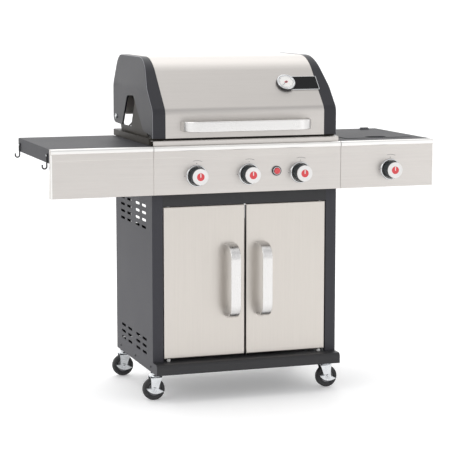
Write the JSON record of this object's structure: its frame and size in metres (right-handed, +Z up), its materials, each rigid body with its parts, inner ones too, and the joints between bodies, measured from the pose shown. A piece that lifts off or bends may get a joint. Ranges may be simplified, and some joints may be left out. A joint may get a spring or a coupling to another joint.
{
  "type": "gas barbecue grill",
  "caption": "Gas barbecue grill on a cabinet cart with casters: hinged hood, front control knobs, two doors, side shelf and covered side burner.",
  "frame": {"origin": "middle of the grill's bounding box, on the floor under its wheels", "axes": "+X towards the side burner, -Y towards the cook (doors, knobs and hood handle), +Z up"},
  "size_m": [1.3704, 0.571, 1.148],
  "materials": {
    "stainless": "brushed satin",
    "satin_handles": "fine satin",
    "rack_wire": "plated wire",
    "knob_face": "satin light face with dark skirt",
    "black_powder_coat": "fine-textured powder coat",
    "slate_enamel": "satin enamel",
    "firebox_enamel": "dark heat-proof enamel",
    "cast_iron": "matt enamelled casting",
    "zinc_plate": "bright zinc plate",
    "wheel_rubber": "matt",
    "brass_fittings": "satin",
    "dial": "black plate with a light dial",
    "red_button": "gloss",
    "black_plastic": "matt"
  },
  "bodies": {
    "cart": {"back_panel": "black_powder_coat", "base_tray": "black_powder_coat", "burner_tube_1": "stainless", "burner_tube_2": "stainless", "burner_tube_3": "stainless", "control_panel": "stainless", "firebox": "firebox_enamel", "flame_tamer_1": "stainless", "flame_tamer_2": "stainless", "flame_tamer_3": "stainless", "front_hook": "black_powder_coat", "front_rail": "black_powder_coat", "front_trim": "stainless", "gas_manifold": "brass_fittings", "igniter_housing": "black_plastic", "left_cooking_grate": "cast_iron", "left_fascia": "stainless", "left_shelf": "black_powder_coat", "left_side_panel": "black_powder_coat", "rear_hook": "black_powder_coat", "right_cooking_grate": "cast_iron", "right_fascia": "stainless", "right_shelf": "black_powder_coat", "right_side_panel": "black_powder_coat", "side_burner_bowl": "black_powder_coat", "side_burner_grate": "cast_iron", "side_burner_head": "cast_iron", "warming_rack": "rack_wire"},
    "hood": {"hood_skin": "stainless", "hood_left_cap": "slate_enamel", "hood_right_cap": "slate_enamel", "hood_handle": "satin_handles", "thermometer": "dial"},
    "left_door": {"left_door": "stainless", "left_door_handle": "satin_handles"},
    "right_door": {"right_door": "stainless", "right_door_handle": "satin_handles"},
    "side_burner_lid": {"side_burner_lid": "black_powder_coat"},
    "grease_tray": {"grease_tray": "zinc_plate"},
    "igniter_button": {"igniter_button": "red_button"},
    "burner_1_stem": {"burner_1_valve_stem": "zinc_plate"},
    "burner_1_knob": {"burner_1_knob": "knob_face"},
    "burner_2_stem": {"burner_2_valve_stem": "zinc_plate"},
    "burner_2_knob": {"burner_2_knob": "knob_face"},
    "burner_3_stem": {"burner_3_valve_stem": "zinc_plate"},
    "burner_3_knob": {"burner_3_knob": "knob_face"},
    "side_burner_stem": {"side_burner_valve_stem": "zinc_plate"},
    "side_burner_knob": {"side_burner_knob": "knob_face"},
    "front_left_swivel": {"front_left_caster_fork": "zinc_plate"},
    "front_left_wheel": {"front_left_caster_wheel": "wheel_rubber"},
    "front_left_brake": {"front_left_caster_brake": "zinc_plate"},
    "front_right_swivel": {"front_right_caster_fork": "zinc_plate"},
    "front_right_wheel": {"front_right_caster_wheel": "wheel_rubber"},
    "front_right_brake": {"front_right_caster_brake": "zinc_plate"},
    "rear_left_swivel": {"rear_left_caster_fork": "zinc_plate"},
    "rear_left_wheel": {"rear_left_caster_wheel": "wheel_rubber"},
    "rear_left_brake": {"rear_left_caster_brake": "zinc_plate"},
    "rear_right_swivel": {"rear_right_caster_fork": "zinc_plate"},
    "rear_right_wheel": {"rear_right_caster_wheel": "wheel_rubber"},
    "rear_right_brake": {"rear_right_caster_brake": "zinc_plate"}
  },
  "joints": [
    {"name": "hood_hinge", "type": "hinge", "parent": "cart", "child": "hood", "pos_m": [0.01015, 0.2435, 0.932], "axis": [-1, 0, 0], "range_deg": [0, 85]},
    {"name": "left_door_hinge", "type": "hinge", "parent": "cart", "child": "left_door", "pos_m": [-0.25985, -0.1975, 0.1445], "axis": [0, 0, -1], "range_deg": [0, 110]},
    {"name": "right_door_hinge", "type": "hinge", "parent": "cart", "child": "right_door", "pos_m": [0.28015, -0.1975, 0.1445], "axis": [0, 0, 1], "range_deg": [0, 110]},
    {"name": "side_lid_hinge", "type": "hinge", "parent": "cart", "child": "side_burner_lid", "pos_m": [0.52315, 0.198, 0.868], "axis": [-1, 0, 0], "range_deg": [0, 100]},
    {"name": "grease_tray_slide", "type": "slide", "parent": "cart", "child": "grease_tray", "axis": [0, 1, 0], "range_m": [0, 0.3]},
    {"name": "burner_1_push", "type": "slide", "parent": "cart", "child": "burner_1_stem", "axis": [0, 1, 0], "range_m": [0, 0.004], "stiffness_N_per_m": 900},
    {"name": "burner_1_turn", "type": "hinge", "parent": "burner_1_stem", "child": "burner_1_knob", "pos_m": [-0.17285, -0.2605, 0.763], "axis": [0, -1, 0], "range_deg": [0, 180]},
    {"name": "burner_2_push", "type": "slide", "parent": "cart", "child": "burner_2_stem", "axis": [0, 1, 0], "range_m": [0, 0.004], "stiffness_N_per_m": 900},
    {"name": "burner_2_turn", "type": "hinge", "parent": "burner_2_stem", "child": "burner_2_knob", "pos_m": [0.01015, -0.2605, 0.763], "axis": [0, -1, 0], "range_deg": [0, 180]},
    {"name": "burner_3_push", "type": "slide", "parent": "cart", "child": "burner_3_stem", "axis": [0, 1, 0], "range_m": [0, 0.004], "stiffness_N_per_m": 900},
    {"name": "burner_3_turn", "type": "hinge", "parent": "burner_3_stem", "child": "burner_3_knob", "pos_m": [0.19315, -0.2605, 0.763], "axis": [0, -1, 0], "range_deg": [0, 180]},
    {"name": "side_burner_push", "type": "slide", "parent": "cart", "child": "side_burner_stem", "axis": [0, 1, 0], "range_m": [0, 0.004], "stiffness_N_per_m": 900},
    {"name": "side_burner_turn", "type": "hinge", "parent": "side_burner_stem", "child": "side_burner_knob", "pos_m": [0.52315, -0.2605, 0.763], "axis": [0, -1, 0], "range_deg": [0, 180]},
    {"name": "igniter_push", "type": "slide", "parent": "cart", "child": "igniter_button", "axis": [0, 1, 0], "range_m": [0, 0.004], "stiffness_N_per_m": 600},
    {"name": "front_left_caster_swivel", "type": "hinge", "parent": "cart", "child": "front_left_swivel", "pos_m": [-0.29685, -0.1625, 0.08], "axis": [0, 0, 1], "continuous": true},
    {"name": "front_left_wheel_spin", "type": "hinge", "parent": "front_left_swivel", "child": "front_left_wheel", "pos_m": [-0.30285, -0.1625, 0.0375], "axis": [0, 1, 0], "continuous": true},
    {"name": "front_left_brake_rock", "type": "hinge", "parent": "front_left_swivel", "child": "front_left_brake", "pos_m": [-0.30285, -0.1805, 0.0375], "axis": [0, -1, 0], "range_deg": [0, 24]},
    {"name": "front_right_caster_swivel", "type": "hinge", "parent": "cart", "child": "front_right_swivel", "pos_m": [0.31715, -0.1625, 0.08], "axis": [0, 0, 1], "continuous": true},
    {"name": "front_right_wheel_spin", "type": "hinge", "parent": "front_right_swivel", "child": "front_right_wheel", "pos_m": [0.32315, -0.1625, 0.0375], "axis": [0, 1, 0], "continuous": true},
    {"name": "front_right_brake_rock", "type": "hinge", "parent": "front_right_swivel", "child": "front_right_brake", "pos_m": [0.32315, -0.1805, 0.0375], "axis": [0, -1, 0], "range_deg": [0, 24]},
    {"name": "rear_left_caster_swivel", "type": "hinge", "parent": "cart", "child": "rear_left_swivel", "pos_m": [-0.29685, 0.2335, 0.08], "axis": [0, 0, 1], "continuous": true},
    {"name": "rear_left_wheel_spin", "type": "hinge", "parent": "rear_left_swivel", "child": "rear_left_wheel", "pos_m": [-0.30285, 0.2335, 0.0375], "axis": [0, 1, 0], "continuous": true},
    {"name": "rear_left_brake_rock", "type": "hinge", "parent": "rear_left_swivel", "child": "rear_left_brake", "pos_m": [-0.30285, 0.2155, 0.0375], "axis": [0, -1, 0], "range_deg": [0, 24]},
    {"name": "rear_right_caster_swivel", "type": "hinge", "parent": "cart", "child": "rear_right_swivel", "pos_m": [0.31715, 0.2335, 0.08], "axis": [0, 0, 1], "continuous": true},
    {"name": "rear_right_wheel_spin", "type": "hinge", "parent": "rear_right_swivel", "child": "rear_right_wheel", "pos_m": [0.32315, 0.2335, 0.0375], "axis": [0, 1, 0], "continuous": true},
    {"name": "rear_right_brake_rock", "type": "hinge", "parent": "rear_right_swivel", "child": "rear_right_brake", "pos_m": [0.32315, 0.2155, 0.0375], "axis": [0, -1, 0], "range_deg": [0, 24]}
  ]
}
